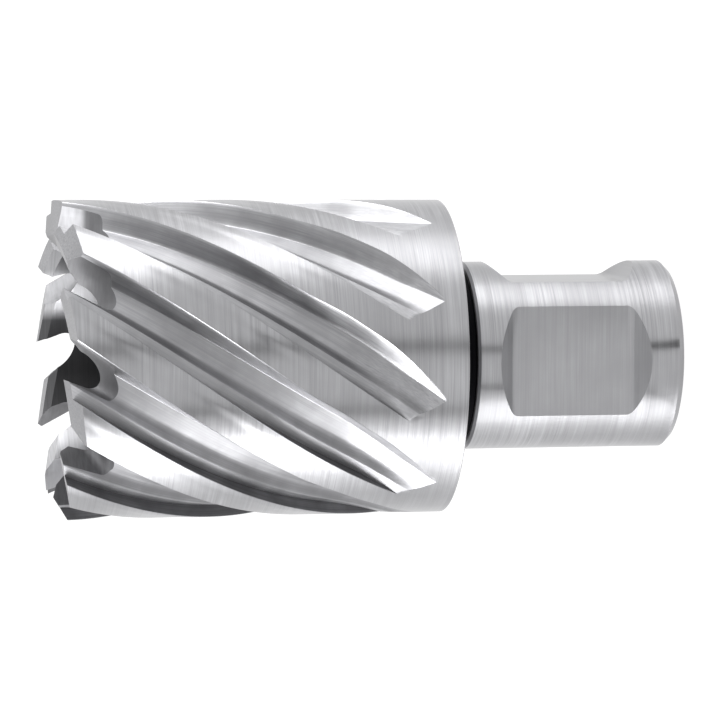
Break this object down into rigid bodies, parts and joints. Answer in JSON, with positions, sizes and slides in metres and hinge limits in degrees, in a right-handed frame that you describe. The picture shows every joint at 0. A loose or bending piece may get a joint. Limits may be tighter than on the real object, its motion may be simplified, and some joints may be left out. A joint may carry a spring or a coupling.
{
  "type": "annular cutter",
  "caption": "Hollow toothed hole cutter with helical flutes outside, an open core bore, and a short round shank with side flats.",
  "frame": {"origin": "centre of the shank's end face, which the tool stands on", "axes": "+Z along the tool's axis, from the shank to the teeth; -Y towards the first shank flat, which is turned 5.2 degrees from it"},
  "size_m": [0.032, 0.032, 0.063],
  "materials": {
    "ground_steel": "bright ground high-speed steel, uncoated"
  },
  "bodies": {
    "root": {"annular_cutter": "ground_steel"}
  },
  "joints": []
}
